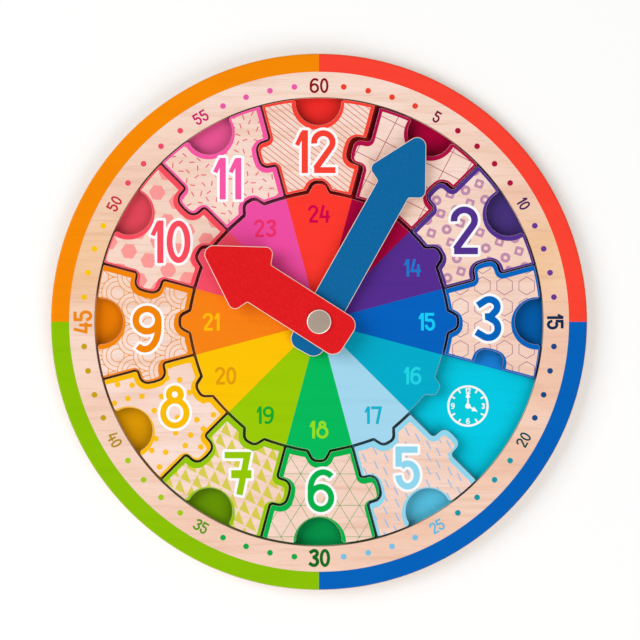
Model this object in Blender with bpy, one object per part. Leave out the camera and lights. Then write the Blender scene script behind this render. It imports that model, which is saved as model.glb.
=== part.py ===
"""A round wooden teaching clock with a ring of jigsaw pieces, one for each hour.

It lies on its back with the dial up. Metres, +Z up out of the dial, +Y towards twelve, and the
origin in the middle of the back face. Angles of the dial run clockwise from twelve.

A back board carries a glued frame ring and a glued hour disc. The hour pieces lie loose in the
tray between the two, each with a knob that keys it into the piece before it and a half-round
notch for a finger. The pocket of the fourth piece is empty. Two hands turn on one rivet.
"""

import math

import bmesh
import bpy
import numpy as np

# Back board, frame ring and the tray inside it
clock_radius = 0.150
board_thick = 0.004
board_edge_round = 0.0010
ring_thick = 0.006
ring_width = 0.0245
ring_edge_round = 0.0015
glue_line = 0.0003
tray_width = 0.0544
ring_inner_radius = clock_radius - ring_width

# Hour disc: twelve bowed sides, with a lobe on each hour that keys a piece
disc_thick = 0.006
disc_side_radius = ring_inner_radius - tray_width
disc_side_bow_share = 1.0
lobe_height = 0.0056
lobe_half_foot = 0.0059
lobe_half_top = 0.0029
lobe_foot_round = 0.0016
lobe_top_round = 0.0032

# Hour pieces
piece_thick = 0.006
piece_bed_gap = 0.0003
side_gap = 0.0013
ring_gap = 0.0011
disc_gap = 0.0015
piece_corner_round = 0.0008
knob_place_share = 0.487
knob_height = 0.0083
knob_crown = 0.0005
knob_half_foot = 0.0074
knob_half_top = 0.0069
knob_foot_round = 0.0018
knob_top_round = 0.0046
notch_radius = 0.0128
notch_setback = 0.0022
notch_mouth_round = 0.0019
edge_chamfer = 0.0004

# Hands, each an arrow seen from above with the pivot at its origin. The minute hand ends short
# of the frame ring, and the hour hand reaches over the sides of the hour disc.
hand_thick = 0.004
minute_half_width = 0.0100
minute_point_short = 0.0027
minute_head_long = 0.0338
minute_barb_back = 0.0044
minute_barb_half_width = 0.0184
hour_half_width = 0.0123
hour_point_over = 0.0085
hour_head_long = 0.0361
hour_barb_back = 0.0040
hour_barb_half_width = 0.0216
hand_tail = 0.0192
tail_round = 0.0064
neck_round = 0.0013
barb_round = 0.0040
point_round = 0.0051

# Rivet and washers
shank_radius = 0.0030
running_gap = 0.0003
seat_gap = 0.0003
lower_washer_thick = 0.0012
lower_washer_radius = 0.0090
middle_washer_thick = 0.0008
middle_washer_radius = 0.0085
rear_washer_thick = 0.0008
rear_washer_radius = 0.0070
rear_pocket_side_gap = 0.0010
head_radius = 0.0068
head_thick = 0.0018
head_edge_round = 0.0005
upset_radius = 0.0048
upset_thick = 0.0008
upset_recess = 0.0002

# Facets of the round shapes, and the least angle that shows as an edge
dial_facets = 96
rivet_facets = 36
corner_step = math.radians(22.5)
notch_step = math.radians(13)
rim_step = math.radians(4.2)
edge_step = math.radians(45)
sharp_angle = math.radians(30)
rounding_slack = 1e-6

# What the dial shows
hours_on_dial = 12
hour_angle = 2 * math.pi / hours_on_dial
pieces_in_tray = (12, 1, 2, 3, 5, 6, 7, 8, 9, 10, 11)
minute_hand_angle = math.radians(29.2)
hour_hand_angle = math.radians(302.6)

# How each loose piece lies: clockwise and outward, as shares of its side gap and ring gap, and
# its turn, as a share of the loosest turn
lie_shares = {
    12: (-0.25, 0.45, 0.0),
    1: (0.90, 0.15, 0.25),
    2: (0.28, 0.05, 0.25),
    3: (-0.10, -0.10, 0.10),
    5: (-0.06, 0.05, 0.0),
    6: (0.08, -0.10, -0.05),
    7: (0.15, -0.05, 0.05),
    8: (0.20, -0.10, 0.05),
    9: (0.20, 0.05, -0.05),
    10: (0.15, 0.30, 0.0),
    11: (-0.02, 0.40, 0.10),
}
loosest_turn = side_gap / ring_inner_radius

# Colours: red, green and blue from 0 to 1, in Blender's linear scale
wood_colour = (0.86, 0.62, 0.43)
board_colour = (0.80, 0.58, 0.40)
dial_colour = (0.80, 0.10, 0.06)
minute_colour = (0.004, 0.15, 0.41)
hour_colour = (0.75, 0.010, 0.010)
steel_colour = (0.44, 0.40, 0.36)
fibre_colour = (0.06, 0.055, 0.05)
wood_roughness = 0.55
paint_roughness = 0.35
steel_roughness = 0.38

# Heights of the stack, from the back up
rear_pocket_depth = upset_recess + upset_thick + seat_gap + rear_washer_thick + seat_gap
rear_pocket_radius = rear_washer_radius + rear_pocket_side_gap
floor_height = board_thick
ring_low = floor_height + glue_line
disc_low = floor_height + glue_line
disc_top = disc_low + disc_thick
piece_low = floor_height + piece_bed_gap
lower_washer_low = disc_top + seat_gap
minute_low = lower_washer_low + lower_washer_thick + seat_gap
middle_washer_low = minute_low + hand_thick + seat_gap
hour_low = middle_washer_low + middle_washer_thick + seat_gap
head_low = hour_low + hand_thick + seat_gap
rear_washer_low = rear_pocket_depth - seat_gap - rear_washer_thick
bore_radius = shank_radius + running_gap


def clear_scene():
    """Removes everything that the scene holds."""
    for thing in list(bpy.data.objects):
        bpy.data.objects.remove(thing, do_unlink=True)


def arc(centre, radius, start, end, step):
    """Points on a circle from one angle to another, both kept, no further apart than step."""
    count = max(1, math.ceil(abs(end - start) / step - rounding_slack))
    angles = np.linspace(start, end, count + 1)
    return np.column_stack((centre[0] + radius * np.cos(angles), centre[1] + radius * np.sin(angles)))


def fillet(before, corner, after, radius):
    """The arc that rounds one corner between its two straight sides."""
    back = (before - corner) / np.linalg.norm(before - corner)
    ahead = (after - corner) / np.linalg.norm(after - corner)
    half = math.acos(np.clip(back @ ahead, -1, 1)) / 2
    middle = (back + ahead) / np.linalg.norm(back + ahead)
    centre = corner + middle * radius / math.sin(half)
    first = corner + back * radius / math.tan(half) - centre
    last = corner + ahead * radius / math.tan(half) - centre
    start = math.atan2(first[1], first[0])
    sweep = math.atan2(first[0] * last[1] - first[1] * last[0], first @ last)
    return arc(centre, radius, start, start + sweep, corner_step)


def rounded(corners, closed=True):
    """A path through corners given as x, y and the radius that rounds them; zero keeps a point sharp."""
    corners = np.asarray(corners, float)
    points = corners[:, :2]
    path = []
    for index, radius in enumerate(corners[:, 2]):
        at_end = not closed and index in (0, len(corners) - 1)
        if radius == 0 or at_end:
            path.append(points[index][None])
        else:
            path.append(fillet(points[index - 1], points[index], points[(index + 1) % len(points)], radius))
    return np.concatenate(path)


def beside(path, distance, closed=False):
    """The path moved to its left by a distance, square to it at each point."""
    if closed:
        ahead = np.roll(path, -1, axis=0) - path
        behind = path - np.roll(path, 1, axis=0)
    else:
        steps = np.diff(path, axis=0)
        ahead = np.vstack((steps, steps[-1:]))
        behind = np.vstack((steps[:1], steps))
    ahead = ahead / np.linalg.norm(ahead, axis=1, keepdims=True)
    behind = behind / np.linalg.norm(behind, axis=1, keepdims=True)
    left = np.column_stack((-(ahead + behind)[:, 1], (ahead + behind)[:, 0]))
    left /= np.linalg.norm(left, axis=1, keepdims=True)
    square = np.column_stack((-ahead[:, 1], ahead[:, 0]))
    return path + distance * left / np.sum(left * square, axis=1, keepdims=True)


def sharp(points):
    """Points as corners that nothing rounds."""
    return np.column_stack((points, np.zeros(len(points))))


def across_boundary(path, angle):
    """A path given along and beside a boundary ray, laid on the dial at the ray's angle."""
    along, aside = path[:, :1], path[:, 1:]
    ray = np.array([math.sin(angle), math.cos(angle)])
    anticlockwise = np.array([-math.cos(angle), math.sin(angle)])
    return along * ray + aside * anticlockwise


def knob_seam(distance):
    """The line between two pieces, out along their boundary, moved aside by a distance."""
    centre = disc_side_radius + knob_place_share * (ring_inner_radius - disc_side_radius)
    foot, top = knob_half_foot, knob_half_top
    line = rounded(
        [
            (disc_side_radius, 0, 0),
            (centre - foot, 0, knob_foot_round),
            (centre - top, knob_height, knob_top_round),
            (centre, knob_height + knob_crown, 0),
            (centre + top, knob_height, knob_top_round),
            (centre + foot, 0, knob_foot_round),
            (ring_inner_radius, 0, 0),
        ],
        closed=False,
    )
    return beside(line, distance)[1:-1]


def disc_cell_edge(distance, aside):
    """The hour disc's edge round its twelve o'clock lobe, from left to right.

    The bowed sides are arcs about points behind the dial's middle on the boundary rays. The edge
    is moved outward by a distance and starts and ends a little way aside from those rays.
    """
    behind = disc_side_radius * disc_side_bow_share
    bow = disc_side_radius + behind
    boundary = hour_angle / 2
    centre = np.array([-behind * math.sin(boundary), -behind * math.cos(boundary)])
    start = math.pi / 2 - boundary + math.asin(aside / (bow + distance))
    foot = math.acos((lobe_half_foot - centre[0]) / bow)
    side = arc(centre, bow, start, foot, rim_step)
    foot_height = side[-1][1]
    left_foot = [(-lobe_half_foot, foot_height, lobe_foot_round)]
    left_top = [(-lobe_half_top, foot_height + lobe_height, lobe_top_round)]
    right_top = [(lobe_half_top, foot_height + lobe_height, lobe_top_round)]
    right_foot = [(lobe_half_foot, foot_height, lobe_foot_round)]
    left_side = sharp(side[:-1] * (-1, 1))
    right_side = sharp(side[-2::-1])
    cell = np.vstack((left_side, left_foot, left_top, right_top, right_foot, right_side))
    return beside(rounded(cell, closed=False), distance)


def disc_outline():
    """The whole hour disc, counter-clockwise, from its twelve cells."""
    cell = disc_cell_edge(0, 0)[::-1][:-1]
    turns = [turned(cell, -index * hour_angle) for index in range(hours_on_dial)]
    return np.concatenate(turns)


def turned(points, angle):
    """Points turned clockwise about the origin."""
    cosine, sine = math.cos(angle), math.sin(angle)
    return points @ np.array([[cosine, -sine], [sine, cosine]])


def piece_outline():
    """The piece for twelve o'clock, counter-clockwise from its inner right corner."""
    half = side_gap / 2
    boundary = hour_angle / 2
    outer = ring_inner_radius - ring_gap
    notch_height = outer - notch_setback
    corner = boundary - math.asin(half / outer)
    mouth = math.acos((outer**2 + notch_height**2 - notch_radius**2) / (2 * outer * notch_height))
    notch_start = math.atan2(outer * math.cos(mouth) - notch_height, outer * math.sin(mouth))
    up = math.pi / 2
    right_rim = arc((0, 0), outer, up - corner, up - mouth, rim_step)
    notch = arc((0, notch_height), notch_radius, notch_start, -math.pi - notch_start, notch_step)
    left_rim = arc((0, 0), outer, up + mouth, up + corner, rim_step)
    inner = disc_cell_edge(disc_gap, half)
    right_seam = across_boundary(knob_seam(half), boundary)
    left_seam = across_boundary(knob_seam(-half), -boundary)[::-1]
    parts = [sharp(part) for part in (right_seam, right_rim, notch[1:-1], left_rim, left_seam, inner)]
    for part, end, radius in (
        (parts[1], 0, piece_corner_round),
        (parts[1], -1, notch_mouth_round),
        (parts[3], 0, notch_mouth_round),
        (parts[3], -1, piece_corner_round),
        (parts[5], 0, piece_corner_round),
        (parts[5], -1, piece_corner_round),
    ):
        part[end, 2] = radius
    return rounded(np.concatenate(parts))


def hand_outline(point, head_long, barb_back, barb_half_width, half_width):
    """An arrow along +Y, counter-clockwise, with a rounded tail, swept barbs and a rounded point."""
    barb = point - head_long
    neck = barb - barb_back
    right = [
        (half_width, -hand_tail, tail_round),
        (half_width, neck, neck_round),
        (barb_half_width, barb, barb_round),
    ]
    left = [(-x, y, radius) for x, y, radius in reversed(right)]
    return rounded(right + [(0, point, point_round)] + left)


def circle(radius, facets):
    """A circle about the origin, counter-clockwise."""
    return arc((0, 0), radius, 0, 2 * math.pi, 2 * math.pi / facets)[:-1]


def finish(name, mesh, look):
    """Makes the object of a mesh, shades it smooth between its sharp edges and gives it its material."""
    mesh.shade_smooth()
    mesh.set_sharp_from_angle(angle=sharp_angle)
    thing = bpy.data.objects.new(name, mesh)
    bpy.context.scene.collection.objects.link(thing)
    if not mesh.materials:
        mesh.materials.append(None)
    thing.material_slots[0].link = "OBJECT"
    thing.material_slots[0].material = look
    return thing


def material(name, colour, roughness, metallic=0.0):
    """A plain Principled material."""
    made = bpy.data.materials.new(name)
    made.use_nodes = True
    shader = made.node_tree.nodes["Principled BSDF"]
    shader.inputs["Base Color"].default_value = (*colour, 1.0)
    shader.inputs["Roughness"].default_value = roughness
    shader.inputs["Metallic"].default_value = metallic
    made.diffuse_color = (*colour, 1.0)
    return made


def loop_of(bm, outline, height):
    """New vertices along an outline at one height, and the edges that close them."""
    verts = [bm.verts.new((x, y, height)) for x, y in outline]
    edges = [bm.edges.new((verts[index - 1], vert)) for index, vert in enumerate(verts)]
    return verts, edges


def wall(bm, lower, upper):
    """Faces between two loops of as many vertices."""
    for index in range(len(lower)):
        bm.faces.new((lower[index - 1], lower[index], upper[index], upper[index - 1]))


def plate_mesh(name, outline, thick, chamfer, bore=0.0):
    """A flat plate from height zero up, with its upper rim chamfered and a round bore if it has one."""
    bm = bmesh.new()
    foot, foot_edges = loop_of(bm, outline, 0)
    brow, _ = loop_of(bm, outline, thick - chamfer)
    rim, rim_edges = loop_of(bm, beside(outline, chamfer, closed=True), thick)
    wall(bm, foot, brow)
    wall(bm, brow, rim)
    if bore:
        hole = circle(bore, rivet_facets)
        bore_foot, bore_foot_edges = loop_of(bm, hole, 0)
        bore_rim, bore_rim_edges = loop_of(bm, hole, thick)
        wall(bm, bore_rim, bore_foot)
        foot_edges += bore_foot_edges
        rim_edges += bore_rim_edges
    bmesh.ops.triangle_fill(bm, edges=foot_edges, use_beauty=True)
    bmesh.ops.triangle_fill(bm, edges=rim_edges, use_beauty=True)
    bmesh.ops.recalc_face_normals(bm, faces=bm.faces)
    mesh = bpy.data.meshes.new(name)
    bm.to_mesh(mesh)
    bm.free()
    return mesh


def turned_mesh(name, profile, facets):
    """A closed profile of radius and height, carried once round the Z axis.

    A profile that runs down its outer side faces out. Points on the axis become single vertices.
    """
    bm = bmesh.new()
    angles = [2 * math.pi * index / facets for index in range(facets)]
    rings = []
    for radius, height in profile:
        if radius == 0:
            rings.append([bm.verts.new((0, 0, height))] * facets)
        else:
            rings.append([bm.verts.new((radius * math.cos(a), radius * math.sin(a), height)) for a in angles])
    for upper, lower in zip(rings, rings[1:] + rings[:1]):
        for index in range(facets):
            corners = (lower[index - 1], lower[index], upper[index], upper[index - 1])
            face = list(dict.fromkeys(corners))
            if len(face) > 2:
                bm.faces.new(face)
    bmesh.ops.recalc_face_normals(bm, faces=bm.faces)
    mesh = bpy.data.meshes.new(name)
    bm.to_mesh(mesh)
    bm.free()
    return mesh


def make_back_board():
    """The board that closes the tray: a disc with the rivet's bore and a pocket behind it."""
    lower = arc(
        (clock_radius - board_edge_round, board_edge_round),
        board_edge_round,
        0,
        -math.pi / 2,
        edge_step,
    )
    profile = [
        (bore_radius, board_thick),
        (clock_radius, board_thick),
        *map(tuple, lower),
        (rear_pocket_radius, 0),
        (rear_pocket_radius, rear_pocket_depth),
        (bore_radius, rear_pocket_depth),
    ]
    mesh = turned_mesh("back_board", profile, dial_facets)
    return finish("back_board", mesh, material("back_board", board_colour, wood_roughness))


def make_frame_ring():
    """The ring that frames the tray, with its outer upper edge rounded over."""
    upper = arc(
        (clock_radius - ring_edge_round, ring_thick - ring_edge_round),
        ring_edge_round,
        math.pi / 2,
        0,
        edge_step,
    )
    profile = [
        (ring_inner_radius, ring_thick - edge_chamfer),
        (ring_inner_radius + edge_chamfer, ring_thick),
        *map(tuple, upper),
        (clock_radius, 0),
        (ring_inner_radius, 0),
    ]
    mesh = turned_mesh("frame_ring", profile, dial_facets)
    ring = finish("frame_ring", mesh, material("frame_ring", wood_colour, wood_roughness))
    ring.location.z = ring_low
    return ring


def make_hour_disc():
    """The lobed disc in the middle of the dial."""
    mesh = plate_mesh("hour_disc", disc_outline(), disc_thick, edge_chamfer, bore_radius)
    disc = finish("hour_disc", mesh, material("hour_disc", dial_colour, paint_roughness))
    disc.location.z = disc_low
    return disc


def make_pieces():
    """The hour pieces: one shape, laid loose in the tray round the dial."""
    mesh = plate_mesh("hour_piece", piece_outline(), piece_thick, edge_chamfer)
    middle = (disc_side_radius + ring_inner_radius) / 2
    for hour in pieces_in_tray:
        clockwise, outward, turn = lie_shares[hour]
        piece = finish(
            f"piece_{hour:02d}",
            mesh,
            material(f"piece_{hour:02d}", wood_colour, wood_roughness),
        )
        lie = turn * loosest_turn
        place = np.array([[clockwise * side_gap, outward * ring_gap + middle]])
        place = place - turned(np.array([[0, middle]]), lie)
        x, y = turned(place, hour * hour_angle)[0]
        piece.location = (x, y, piece_low)
        piece.rotation_euler.z = -(hour * hour_angle + lie)


def make_hand(name, outline, height, angle, colour):
    """A hand lying on its pivot, turned clockwise from twelve."""
    mesh = plate_mesh(name, outline, hand_thick, edge_chamfer, bore_radius)
    hand = finish(name, mesh, material(name, colour, paint_roughness))
    hand.location.z = height
    hand.rotation_euler.z = -angle
    return hand


def make_hands():
    """The long minute hand, and the short hour hand above it."""
    minute = hand_outline(
        ring_inner_radius - minute_point_short,
        minute_head_long,
        minute_barb_back,
        minute_barb_half_width,
        minute_half_width,
    )
    hour = hand_outline(
        disc_side_radius + hour_point_over,
        hour_head_long,
        hour_barb_back,
        hour_barb_half_width,
        hour_half_width,
    )
    make_hand("minute_hand", minute, minute_low, minute_hand_angle, minute_colour)
    make_hand("hour_hand", hour, hour_low, hour_hand_angle, hour_colour)


def make_washer(name, radius, thick, height, colour, roughness, metallic):
    """A flat washer round the rivet's shank."""
    profile = [(bore_radius, thick), (radius, thick), (radius, 0), (bore_radius, 0)]
    washer = finish(
        name,
        turned_mesh(name, profile, rivet_facets),
        material(name, colour, roughness, metallic),
    )
    washer.location.z = height
    return washer


def make_rivet():
    """The rivet: a flat head over the hands, a shank, and a tail spread over the rear washer."""
    head_top = head_low + head_thick
    upset_low = upset_recess
    head_edge = arc(
        (head_radius - head_edge_round, head_top - head_edge_round),
        head_edge_round,
        math.pi / 2,
        0,
        edge_step,
    )
    profile = [
        (0, head_top),
        *map(tuple, head_edge),
        (head_radius, head_low),
        (shank_radius, head_low),
        (shank_radius, upset_low + upset_thick),
        (upset_radius, upset_low + upset_thick),
        (upset_radius, upset_low),
        (0, upset_low),
    ]
    mesh = turned_mesh("centre_rivet", profile, rivet_facets)
    return finish("centre_rivet", mesh, material("centre_rivet", steel_colour, steel_roughness, 1.0))


def make_pivot():
    """The rivet with the washers that it holds."""
    fibre = (fibre_colour, wood_roughness, 0.0)
    steel = (steel_colour, steel_roughness, 1.0)
    make_washer("lower_washer", lower_washer_radius, lower_washer_thick, lower_washer_low, *fibre)
    make_washer("middle_washer", middle_washer_radius, middle_washer_thick, middle_washer_low, *fibre)
    make_washer("rear_washer", rear_washer_radius, rear_washer_thick, rear_washer_low, *steel)
    make_rivet()


clear_scene()
make_back_board()
make_frame_ring()
make_hour_disc()
make_pieces()
make_hands()
make_pivot()
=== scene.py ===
"""The looks of a round wooden teaching clock: printed plywood, painted hands and a steel rivet.

Metres, +Z up out of the dial, +Y towards twelve. Angles of the dial run clockwise from twelve.
Each wooden piece is an outline carried up through a profile, at the heights of the solid that it
stands for. Each print is a thin film of ink that lies on a piece and moves with it.
"""

import math

import bpy
import numpy as np
from mathutils.geometry import delaunay_2d_cdt
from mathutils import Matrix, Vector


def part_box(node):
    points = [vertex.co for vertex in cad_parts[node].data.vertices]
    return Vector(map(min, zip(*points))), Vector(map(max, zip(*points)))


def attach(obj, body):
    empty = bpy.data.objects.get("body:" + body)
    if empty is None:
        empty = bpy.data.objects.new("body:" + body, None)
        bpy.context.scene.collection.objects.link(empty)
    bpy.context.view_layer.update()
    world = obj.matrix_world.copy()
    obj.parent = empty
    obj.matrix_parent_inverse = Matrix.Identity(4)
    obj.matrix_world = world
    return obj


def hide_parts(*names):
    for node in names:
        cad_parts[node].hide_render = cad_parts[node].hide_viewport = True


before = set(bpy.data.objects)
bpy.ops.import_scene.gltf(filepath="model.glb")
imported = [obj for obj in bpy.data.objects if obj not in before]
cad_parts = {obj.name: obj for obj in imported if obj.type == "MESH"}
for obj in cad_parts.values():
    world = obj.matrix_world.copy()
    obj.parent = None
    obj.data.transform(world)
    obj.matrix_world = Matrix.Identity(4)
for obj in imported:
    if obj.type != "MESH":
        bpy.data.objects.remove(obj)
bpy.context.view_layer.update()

# Tray, disc and pieces
clock_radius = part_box("back_board")[1].x
board_edge_round = 0.0010
board_brow_round = 0.0003
ring_width = 0.0245
ring_edge_round = 0.0015
ring_brow_round = 0.0004
tray_width = 0.0544
ring_inner_radius = clock_radius - ring_width
disc_side_radius = ring_inner_radius - tray_width
lobe_height = 0.0056
lobe_half_foot = 0.0059
lobe_half_top = 0.0029
lobe_foot_round = 0.0016
lobe_top_round = 0.0032
side_gap = 0.0013
ring_gap = 0.0011
disc_gap = 0.0015
piece_corner_round = 0.0008
knob_place_share = 0.487
knob_height = 0.0083
knob_crown = 0.0005
knob_half_foot = 0.0074
knob_half_top = 0.0069
knob_foot_round = 0.0018
knob_top_round = 0.0046
notch_radius = 0.0128
notch_setback = 0.0022
notch_mouth_round = 0.0019

# Hands, each an arrow seen from above with the pivot at its origin: where its point lies, its
# head's length, how far its neck lies behind its barbs, the barbs' and its own half width, its
# angle in degrees, and its paint's code
hand_sizes = {
    "minute": (ring_inner_radius - 0.0027, 0.0338, 0.0044, 0.0184, 0.0100, 29.2, "00659F"),
    "hour": (disc_side_radius + 0.0085, 0.0361, 0.0040, 0.0216, 0.0123, 302.6, "E0141A"),
}
hand_tail = 0.0192
tail_round = 0.0064
neck_round = 0.0013
barb_round = 0.0040
point_round = 0.0051

# Rivet, washers and their bores
shank_radius = 0.0030
bore_radius = 0.0033
rear_pocket_radius = 0.0080
rear_pocket_depth = 0.0024
rear_pocket_round = 0.0003
head_thick = 0.0018
head_edge_round = 0.0005
head_dome = 0.0002
upset_radius = 0.0048
upset_thick = 0.0008
upset_edge_round = 0.0003
under_round = 0.0002
washer_edge_round = 0.00015

# How the wood is finished: sanded edges, and how far the glued pieces sink into the glue
sanded_round = 0.00016
sanded_foot = 0.00015
round_facets = 5
hand_round = 0.00038
glue_sink = 0.00002

# How each loose piece lies: clockwise and outward, as shares of its side gap and ring gap, and
# its turn, as a share of the loosest turn
hours_on_dial = 12
hour_angle = 2 * math.pi / hours_on_dial
lie_shares = {
    12: (-0.25, 0.45, 0.0),
    1: (0.90, 0.15, 0.25),
    2: (0.28, 0.05, 0.25),
    3: (-0.10, -0.10, 0.10),
    5: (-0.06, 0.05, 0.0),
    6: (0.08, -0.10, -0.05),
    7: (0.15, -0.05, 0.05),
    8: (0.20, -0.10, 0.05),
    9: (0.20, 0.05, -0.05),
    10: (0.15, 0.30, 0.0),
    11: (-0.02, 0.40, 0.10),
}
loosest_turn = side_gap / ring_inner_radius

# Steps of the round shapes, and the least angle that shows as an edge
corner_step = math.radians(9)
notch_step = math.radians(4)
rim_step = math.radians(1)
turn_facets = 360
rivet_facets = 120
sharp_angle = math.radians(35)
rounding_slack = 1e-6
rounding_room = 1.4


def arc(centre, radius, start, end, step):
    """Points on a circle, centre + radius (cos a, sin a), from one angle to another, both kept."""
    count = max(1, math.ceil(abs(end - start) / step - rounding_slack))
    angles = np.linspace(start, end, count + 1)
    return np.column_stack((centre[0] + radius * np.cos(angles), centre[1] + radius * np.sin(angles)))


def circle(radius, facets=turn_facets, centre=(0, 0)):
    """A closed circle, counter-clockwise."""
    return arc(centre, radius, 0, 2 * math.pi, 2 * math.pi / facets)[:-1]


def fillet(before, corner, after, radius):
    """The arc that rounds a corner: it touches both sides at radius / tan(half angle) from it."""
    back = (before - corner) / np.linalg.norm(before - corner)
    ahead = (after - corner) / np.linalg.norm(after - corner)
    half = math.acos(np.clip(back @ ahead, -1, 1)) / 2
    middle = (back + ahead) / np.linalg.norm(back + ahead)
    centre = corner + middle * radius / math.sin(half)
    first = corner + back * radius / math.tan(half) - centre
    last = corner + ahead * radius / math.tan(half) - centre
    start = math.atan2(first[1], first[0])
    sweep = math.atan2(first[0] * last[1] - first[1] * last[0], first @ last)
    return arc(centre, radius, start, start + sweep, corner_step)


def rounded(corners, closed=True):
    """A path through corners given as x, y and the radius that rounds them; zero keeps a point sharp.

    Sharp points that a neighbour's rounding would run over are left out.
    """
    corners = np.asarray(corners, float)
    gaps = np.linalg.norm(corners[:, None, :2] - corners[:, :2], axis=2)
    crowded = (corners[:, 2] == 0) & np.any(gaps < rounding_room * corners[:, 2], axis=1)
    corners = corners[~crowded]
    points = corners[:, :2]
    path = []
    for index, radius in enumerate(corners[:, 2]):
        at_end = not closed and index in (0, len(corners) - 1)
        if radius == 0 or at_end:
            path.append(points[index][None])
        else:
            after = points[(index + 1) % len(points)]
            path.append(fillet(points[index - 1], points[index], after, radius))
    return np.concatenate(path)


def beside(path, distance, closed=False):
    """The path moved to its left by a distance, along the mitre of the two sides at each point."""
    if closed:
        ahead = np.roll(path, -1, axis=0) - path
        behind = path - np.roll(path, 1, axis=0)
    else:
        steps = np.diff(path, axis=0)
        ahead = np.vstack((steps, steps[-1:]))
        behind = np.vstack((steps[:1], steps))
    ahead = ahead / np.linalg.norm(ahead, axis=1, keepdims=True)
    behind = behind / np.linalg.norm(behind, axis=1, keepdims=True)
    left = np.column_stack((-(ahead + behind)[:, 1], (ahead + behind)[:, 0]))
    left /= np.linalg.norm(left, axis=1, keepdims=True)
    square = np.column_stack((-ahead[:, 1], ahead[:, 0]))
    return path + distance * left / np.sum(left * square, axis=1, keepdims=True)


def turned(points, angle):
    """Points turned clockwise about the origin."""
    cosine, sine = math.cos(angle), math.sin(angle)
    return points @ np.array([[cosine, -sine], [sine, cosine]])


def on_dial(radius, angle):
    """The point at a radius and a clockwise angle from twelve."""
    return np.array([radius * math.sin(angle), radius * math.cos(angle)])


def sharp(points):
    """Points as corners that nothing rounds."""
    return np.column_stack((points, np.zeros(len(points))))


def across_boundary(path, angle):
    """A path given along and beside a boundary ray, laid on the dial at the ray's angle."""
    ray = on_dial(1, angle)
    anticlockwise = np.array([-ray[1], ray[0]])
    return path[:, :1] * ray + path[:, 1:] * anticlockwise


def knob_seam(distance):
    """The line between two pieces, out along their boundary, moved aside by a distance."""
    centre = disc_side_radius + knob_place_share * tray_width
    foot, top = knob_half_foot, knob_half_top
    line = rounded(
        [
            (disc_side_radius, 0, 0),
            (centre - foot, 0, knob_foot_round),
            (centre - top, knob_height, knob_top_round),
            (centre, knob_height + knob_crown, 0),
            (centre + top, knob_height, knob_top_round),
            (centre + foot, 0, knob_foot_round),
            (ring_inner_radius, 0, 0),
        ],
        closed=False,
    )
    return beside(line, distance)[1:-1]


def disc_cell_edge(distance, aside):
    """The hour disc's edge round its twelve o'clock lobe, from left to right.

    The bowed sides are arcs about points as far behind the dial's middle as the sides lie before
    it. The edge is moved outward by a distance and starts and ends a little way aside from the
    boundary rays.
    """
    bow = 2 * disc_side_radius
    boundary = hour_angle / 2
    centre = -on_dial(disc_side_radius, boundary)
    start = math.pi / 2 - boundary + math.asin(aside / (bow + distance))
    foot = math.acos((lobe_half_foot - centre[0]) / bow)
    side = arc(centre, bow, start, foot, rim_step)
    foot_height = side[-1][1]
    lobe = [
        (-lobe_half_foot, foot_height, lobe_foot_round),
        (-lobe_half_top, foot_height + lobe_height, lobe_top_round),
        (lobe_half_top, foot_height + lobe_height, lobe_top_round),
        (lobe_half_foot, foot_height, lobe_foot_round),
    ]
    cell = np.vstack((sharp(side[:-1] * (-1, 1)), lobe, sharp(side[-2::-1])))
    return beside(rounded(cell, closed=False), distance)


def disc_outline():
    """The whole hour disc, counter-clockwise, from its twelve cells."""
    cell = disc_cell_edge(0, 0)[::-1][:-1]
    return np.concatenate([turned(cell, -index * hour_angle) for index in range(hours_on_dial)])


def piece_outline(rim_over=0.0):
    """The piece for twelve o'clock, counter-clockwise from its inner right corner.

    Its rim can lie over by a distance, as the edge of its print does, with the notch left as it is.
    """
    half = side_gap / 2
    boundary = hour_angle / 2
    notch_height = ring_inner_radius - ring_gap - notch_setback
    outer = ring_inner_radius - ring_gap + rim_over
    corner = boundary - math.asin(half / outer)
    mouth = math.acos((outer**2 + notch_height**2 - notch_radius**2) / (2 * outer * notch_height))
    notch_start = math.atan2(outer * math.cos(mouth) - notch_height, outer * math.sin(mouth))
    up = math.pi / 2
    right_rim = arc((0, 0), outer, up - corner, up - mouth, rim_step)
    notch = arc((0, notch_height), notch_radius, notch_start, -math.pi - notch_start, notch_step)
    left_rim = arc((0, 0), outer, up + mouth, up + corner, rim_step)
    inner = disc_cell_edge(disc_gap, half)
    right_seam = across_boundary(knob_seam(half), boundary)
    left_seam = across_boundary(knob_seam(-half), -boundary)[::-1]
    parts = [sharp(part) for part in (right_seam, right_rim, notch[1:-1], left_rim, left_seam, inner)]
    for part, end, radius in (
        (parts[1], 0, piece_corner_round),
        (parts[1], -1, notch_mouth_round),
        (parts[3], 0, notch_mouth_round),
        (parts[3], -1, piece_corner_round),
        (parts[5], 0, piece_corner_round),
        (parts[5], -1, piece_corner_round),
    ):
        part[end, 2] = radius
    return rounded(np.concatenate(parts))


def laid(outline, hour):
    """The twelve o'clock piece's outline, laid in the tray as the piece of an hour lies."""
    clockwise, outward, turn = lie_shares[hour]
    middle = np.array([0, (disc_side_radius + ring_inner_radius) / 2])
    lie = turned(outline - middle, turn * loosest_turn)
    return turned(lie + middle + (clockwise * side_gap, outward * ring_gap), hour * hour_angle)


def hand_outline(point, head_long, neck_back, barb_half_width, half_width, angle):
    """An arrow, counter-clockwise, with a rounded tail, barbs and point, turned clockwise."""
    barb = point - head_long
    right = [
        (half_width, -hand_tail, tail_round),
        (half_width, barb - neck_back, neck_round),
        (barb_half_width, barb, barb_round),
    ]
    left = [(-x, y, radius) for x, y, radius in reversed(right)]
    return turned(rounded(right + [(0, point, point_round)] + left), math.radians(angle))


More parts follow.
